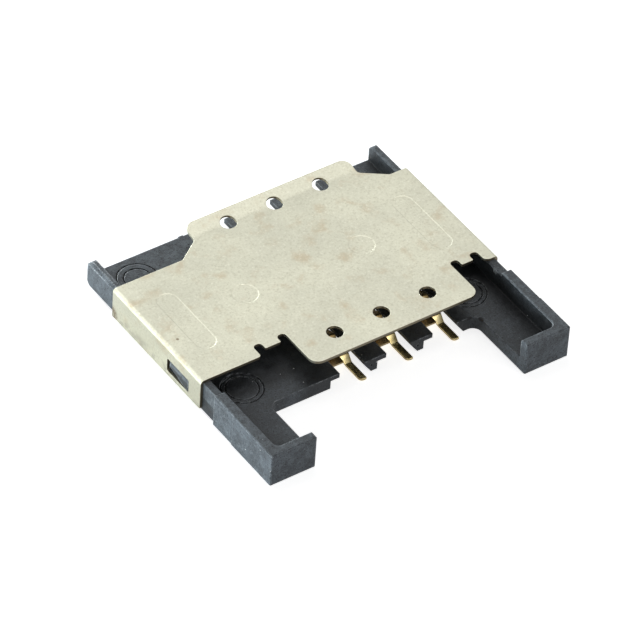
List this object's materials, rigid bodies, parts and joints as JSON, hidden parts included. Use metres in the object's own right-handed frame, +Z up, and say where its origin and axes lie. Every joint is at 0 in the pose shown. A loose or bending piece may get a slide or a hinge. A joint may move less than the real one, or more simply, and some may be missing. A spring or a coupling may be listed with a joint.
{
  "type": "sim card socket",
  "caption": "Board-mounted SIM card socket with a black plastic tray, front stop arms, a folded metal cover with a raised entry lip, and gold spring contacts.",
  "frame": {"origin": "on the board plane, at the middle of the socket's length with its solder tails and the middle of its width", "axes": "+Z up from the board through the cover, +Y towards the raised lip where the card goes in, -Y towards the two stop arms, +X across, to the side that the contact columns are offset to"},
  "size_m": [0.0162, 0.0156, 0.002],
  "materials": {
    "black_plastic": "fine matt moulded",
    "cover_metal": "satin tin-nickel plating, slightly stained",
    "contact_gold": "smooth gold plating"
  },
  "bodies": {
    "root": {"housing": "black_plastic", "cover": "cover_metal", "contact_c1": "contact_gold", "contact_c2": "contact_gold", "contact_c3": "contact_gold", "contact_c5": "contact_gold", "contact_c6": "contact_gold", "contact_c7": "contact_gold"}
  },
  "joints": []
}
